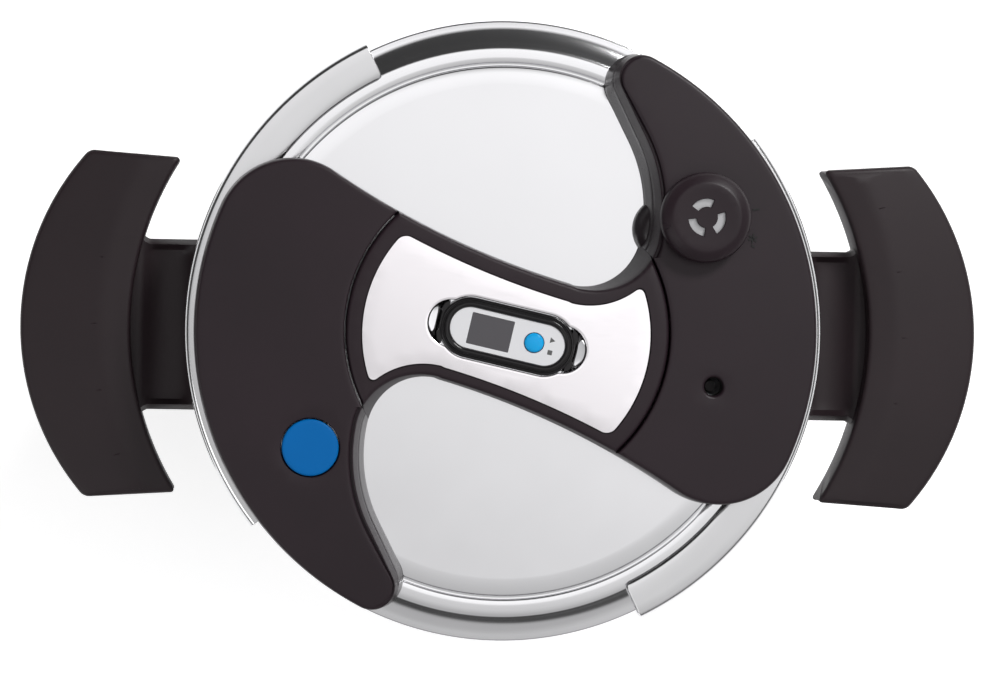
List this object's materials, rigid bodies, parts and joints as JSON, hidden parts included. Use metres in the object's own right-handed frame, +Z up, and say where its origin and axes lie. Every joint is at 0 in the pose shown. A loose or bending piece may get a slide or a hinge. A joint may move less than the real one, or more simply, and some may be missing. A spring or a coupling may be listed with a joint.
{
  "type": "stovetop pressure cooker",
  "caption": "Clamp-lid stovetop pressure cooker: round steel pot with two side grips, lid held by two sliding jaws, with valve knob, release button and removable timer.",
  "frame": {"origin": "middle of the base's underside, on the surface that the cooker stands on", "axes": "+Z up along the pot's axis, +X towards the right pot grip, which has the lid's valve side above it, +Y away from the front"},
  "size_m": [0.3766, 0.2426, 0.2097],
  "materials": {
    "polished_steel": "mirror polished stainless steel",
    "satin_steel": "satin stainless steel",
    "aluminium_core": "plain rolled aluminium",
    "black_phenolic": "satin moulded phenolic, near black",
    "black_plastic": "satin moulded plastic, near black",
    "grey_silicone": "soft grey silicone",
    "blue_plastic": "satin moulded plastic, blue",
    "light_blue_plastic": "glossy moulded plastic, light blue",
    "pale_face": "pale grey printed face",
    "display": "dark grey display window",
    "circuit_board": "green circuit board"
  },
  "bodies": {
    "pot": {"pot_body": "polished_steel", "base_core": "aluminium_core", "base_cap": "satin_steel", "left_handle_bracket": "satin_steel", "right_handle_bracket": "satin_steel", "left_pot_grip": "black_phenolic", "right_pot_grip": "black_phenolic", "grip_screws": "satin_steel"},
    "lid": {"lid_shell": "polished_steel", "lid_gasket": "grey_silicone", "centre_stud": "satin_steel", "rail_nut": "satin_steel", "bridge_rail": "satin_steel", "bridge_frame": "black_plastic", "frame_screws": "satin_steel", "trim_plate": "polished_steel", "timer_cradle": "polished_steel", "left_cover": "black_plastic", "right_cover": "black_plastic", "left_cover_skirt": "black_plastic", "right_cover_skirt": "black_plastic", "cover_screws": "satin_steel", "valve_body": "satin_steel", "valve_nut": "satin_steel", "valve_seal": "grey_silicone", "spring_retainer": "satin_steel", "safety_body": "satin_steel", "safety_nut": "satin_steel", "safety_retainer": "satin_steel", "indicator_bush": "grey_silicone", "button_spring": "satin_steel", "valve_spring": "satin_steel", "safety_spring": "satin_steel"},
    "left_jaw": {"left_jaw": "polished_steel", "left_jaw_arm": "satin_steel", "left_jaw_rivets": "satin_steel"},
    "right_jaw": {"right_jaw": "polished_steel", "right_jaw_arm": "satin_steel", "right_jaw_rivets": "satin_steel"},
    "link": {"sync_link": "satin_steel"},
    "button": {"release_button": "blue_plastic"},
    "latch": {"release_latch": "satin_steel"},
    "knob": {"regulator_knob": "black_plastic", "knob_insert": "polished_steel"},
    "indicator": {"indicator_pin": "black_plastic"},
    "valve_plunger": {"valve_plunger": "satin_steel"},
    "safety_poppet": {"safety_poppet": "satin_steel"},
    "timer": {"timer_case": "black_plastic", "timer_face": "pale_face", "timer_display": "display", "timer_board": "circuit_board", "timer_cell": "satin_steel", "timer_back": "black_plastic"},
    "timer_button": {"timer_button": "light_blue_plastic"}
  },
  "joints": [
    {"name": "lid_turn", "type": "hinge", "parent": "pot", "child": "lid", "pos_m": [0, 0, 0.17], "axis": [0, 0, 1], "continuous": true},
    {"name": "left_jaw_slide", "type": "slide", "parent": "lid", "child": "left_jaw", "axis": [-0.977, 0.213, 0], "range_m": [0, 0.01]},
    {"name": "right_jaw_slide", "type": "slide", "parent": "lid", "child": "right_jaw", "axis": [0.977, -0.213, 0], "range_m": [0, 0.01]},
    {"name": "link_swivel", "type": "hinge", "parent": "lid", "child": "link", "pos_m": [0, 0, 0.18], "axis": [0, 0, 1], "range_deg": [0, 54.12]},
    {"name": "button_press", "type": "slide", "parent": "lid", "child": "button", "axis": [0, 0, -1], "range_m": [0, 0.0035], "stiffness_N_per_m": 400, "springref_m": -0.002, "deforming": ["button_spring"]},
    {"name": "latch_slide", "type": "slide", "parent": "lid", "child": "latch", "axis": [-0.213, -0.977, 0], "range_m": [0, 0.0035]},
    {"name": "knob_turn", "type": "hinge", "parent": "lid", "child": "knob", "pos_m": [0.07479, 0.04541, 0.2], "axis": [0, 0, 1], "range_deg": [-45, 90]},
    {"name": "indicator_rise", "type": "slide", "parent": "lid", "child": "indicator", "axis": [0, 0, 1], "range_m": [0, 0.006]},
    {"name": "valve_lift", "type": "slide", "parent": "lid", "child": "valve_plunger", "axis": [0, 0, 1], "range_m": [0, 0.003], "stiffness_N_per_m": 900, "springref_m": -0.003, "deforming": ["valve_spring"]},
    {"name": "safety_lift", "type": "slide", "parent": "lid", "child": "safety_poppet", "axis": [0, 0, 1], "range_m": [0, 0.002], "stiffness_N_per_m": 1200, "springref_m": -0.003, "deforming": ["safety_spring"]},
    {"name": "timer_lift", "type": "slide", "parent": "lid", "child": "timer", "axis": [0, 0, 1], "range_m": [0, 0.03]},
    {"name": "timer_press", "type": "slide", "parent": "timer", "child": "timer_button", "axis": [0, 0, -1], "range_m": [0, 0.0008], "stiffness_N_per_m": 300, "springref_m": -0.001}
  ],
  "couplings": [
    {"joint": "right_jaw_slide", "follows": "left_jaw_slide", "ratio": 1},
    {"joint": "link_swivel", "follows": "left_jaw_slide", "rad_per_m": 94.372},
    {"joint": "latch_slide", "follows": "button_press", "ratio": 1}
  ]
}
